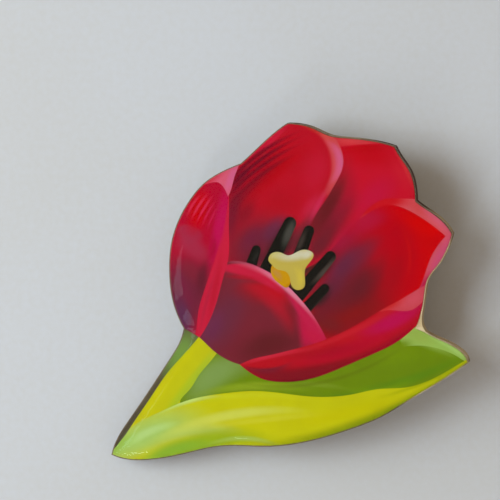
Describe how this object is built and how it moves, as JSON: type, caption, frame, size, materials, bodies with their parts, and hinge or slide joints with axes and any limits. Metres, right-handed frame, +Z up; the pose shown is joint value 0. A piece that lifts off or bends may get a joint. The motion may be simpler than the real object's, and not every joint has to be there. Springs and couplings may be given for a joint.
{
  "type": "tulip brooch",
  "caption": "Flat tulip-shaped brooch of laser-cut plywood with a printed flower under clear domed resin and a locking safety bar pin on the back.",
  "frame": {"origin": "middle of the underside of the brooch's box as it lies face up on a table", "axes": "+Z up from the table, +Y towards the flower's top, +X from the stem's end to the leaf's tip"},
  "size_m": [0.0648, 0.0612, 0.0133],
  "materials": {
    "plywood": "bare sanded face, edges browned by the laser",
    "clear_resin": "clear, high gloss, domed edge",
    "pale_yellow_print": "printed, under resin",
    "orange_print": "printed, under resin",
    "pink_print": "printed, under resin",
    "crimson_print": "printed, under resin",
    "magenta_print": "printed, under resin",
    "coral_print": "printed, under resin",
    "dark_red_print": "printed, under resin",
    "maroon_print": "printed, under resin",
    "charcoal_print": "printed, under resin",
    "red_print": "printed, under resin",
    "scarlet_print": "printed, under resin",
    "yellow_green_print": "printed, under resin",
    "brown_print": "printed, under resin",
    "pale_green_print": "printed, under resin",
    "green_print": "printed, under resin",
    "foam_tape": "adhesive foam, matt",
    "plated_steel": "nickel plated, satin",
    "bright_steel": "drawn wire, bright"
  },
  "bodies": {
    "root": {"back_veneer": "plywood", "core_veneer": "plywood", "front_veneer": "plywood", "resin_dome": "clear_resin", "stigma_print": "pale_yellow_print", "style_print": "orange_print", "left_petal_tip_print": "pink_print", "left_petal_fold_print": "crimson_print", "left_petal_print": "magenta_print", "lower_petal_glow_print": "coral_print", "lower_petal_print": "dark_red_print", "front_petal_rim_print": "pink_print", "front_petal_print": "maroon_print", "stamens_print": "charcoal_print", "upper_petal_rim_print": "pink_print", "upper_petal_print": "red_print", "right_petal_rim_print": "coral_print", "right_petal_print": "scarlet_print", "back_petal_lip_print": "pink_print", "back_petal_print": "crimson_print", "front_leaf_print": "yellow_green_print", "stem_print": "yellow_green_print", "leaf_shadow_print": "brown_print", "back_leaf_rim_print": "pale_green_print", "back_leaf_print": "green_print", "glue_pad": "foam_tape", "base_bar": "plated_steel", "hinge_rivet": "plated_steel", "catch_housing": "plated_steel"},
    "pin": {"pin_stem": "bright_steel"},
    "lock": {"catch_roller": "plated_steel"}
  },
  "joints": [
    {"name": "pin_swing", "type": "hinge", "parent": "root", "child": "pin", "pos_m": [-0.00566, 0.01098, 0.00141], "axis": [0.5534, 0.8273, 0.0963], "range_deg": [0, 70]},
    {"name": "lock_turn", "type": "hinge", "parent": "root", "child": "lock", "pos_m": [0.01263, -0.0013, 0.00186], "axis": [0.8299, -0.5575, 0.0202], "range_deg": [0, 150]}
  ]
}
